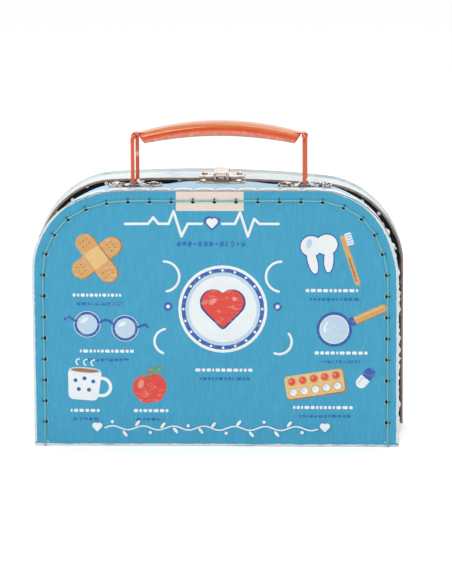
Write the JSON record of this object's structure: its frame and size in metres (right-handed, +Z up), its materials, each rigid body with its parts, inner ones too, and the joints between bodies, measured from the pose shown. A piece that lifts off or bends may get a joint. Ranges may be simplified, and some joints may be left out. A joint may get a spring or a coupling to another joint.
{
  "type": "toy doctor case",
  "caption": "Child's stitched board suitcase with a tray half, a hinged lid half, a folding wire-link handle and a hook-and-hasp clasp.",
  "frame": {"origin": "middle of the spine's underside, which the closed case stands on", "axes": "+X to the viewer's right along the spine, +Y from the tray half's panel to the lid half, +Z up to the handle"},
  "size_m": [0.295, 0.0922, 0.2551],
  "materials": {
    "blue_board": "matte printed paper on grey board",
    "pale_board": "matte printed paper on grey board",
    "white_board": "matte printed paper on grey board",
    "thread": "waxed thread",
    "nickel": "bright nickel plate",
    "red_paint": "gloss paint"
  },
  "bodies": {
    "base": {"base_board": "blue_board", "base_wall": "pale_board", "base_stitching": "thread", "handle_bracket_left": "nickel", "handle_bracket_right": "nickel", "bracket_rivet_left_outer": "nickel", "bracket_rivet_left_inner": "nickel", "bracket_rivet_right_inner": "nickel", "bracket_rivet_right_outer": "nickel", "bracket_rivet_left_outer_washer": "nickel", "bracket_rivet_left_inner_washer": "nickel", "bracket_rivet_right_inner_washer": "nickel", "bracket_rivet_right_outer_washer": "nickel", "clasp_base_plate": "nickel", "clasp_base_rivet_left": "nickel", "clasp_base_rivet_right": "nickel", "clasp_base_rivet_left_washer": "nickel", "clasp_base_rivet_right_washer": "nickel"},
    "lid": {"lid_panel": "white_board", "lid_wall": "white_board", "lid_stitching": "thread", "clasp_lid_plate": "nickel", "clasp_lid_rivet_left": "nickel", "clasp_lid_rivet_right": "nickel", "clasp_lid_rivet_left_washer": "nickel", "clasp_lid_rivet_right_washer": "nickel", "clasp_pin": "nickel"},
    "hasp": {"clasp_hasp": "nickel"},
    "link_left": {"handle_link_left": "red_paint"},
    "grip": {"handle_grip": "red_paint"},
    "link_right": {"handle_link_right": "red_paint"}
  },
  "joints": [
    {"name": "lid_hinge", "type": "hinge", "parent": "base", "child": "lid", "pos_m": [0, 0.0441, 0.0009], "axis": [-1, 0, 0], "range_deg": [0, 180]},
    {"name": "hasp_hinge", "type": "hinge", "parent": "lid", "child": "hasp", "pos_m": [0.003, 0.0221, 0.211], "axis": [-1, 0, 0], "range_deg": [0, 160]},
    {"name": "link_left_pivot", "type": "hinge", "parent": "base", "child": "link_left", "pos_m": [-0.064, -0.012, 0.2067], "axis": [0, 1, 0], "range_deg": [-80, 80]},
    {"name": "grip_pivot", "type": "hinge", "parent": "link_left", "child": "grip", "pos_m": [-0.064, -0.012, 0.2441], "axis": [0, 1, 0], "range_deg": [-80, 80]},
    {"name": "link_right_pivot", "type": "hinge", "parent": "base", "child": "link_right", "pos_m": [0.07, -0.012, 0.2067], "axis": [0, 1, 0], "range_deg": [-80, 80]}
  ],
  "couplings": [
    {"joint": "grip_pivot", "follows": "link_left_pivot", "ratio": -1},
    {"joint": "link_right_pivot", "follows": "link_left_pivot", "ratio": 1}
  ]
}
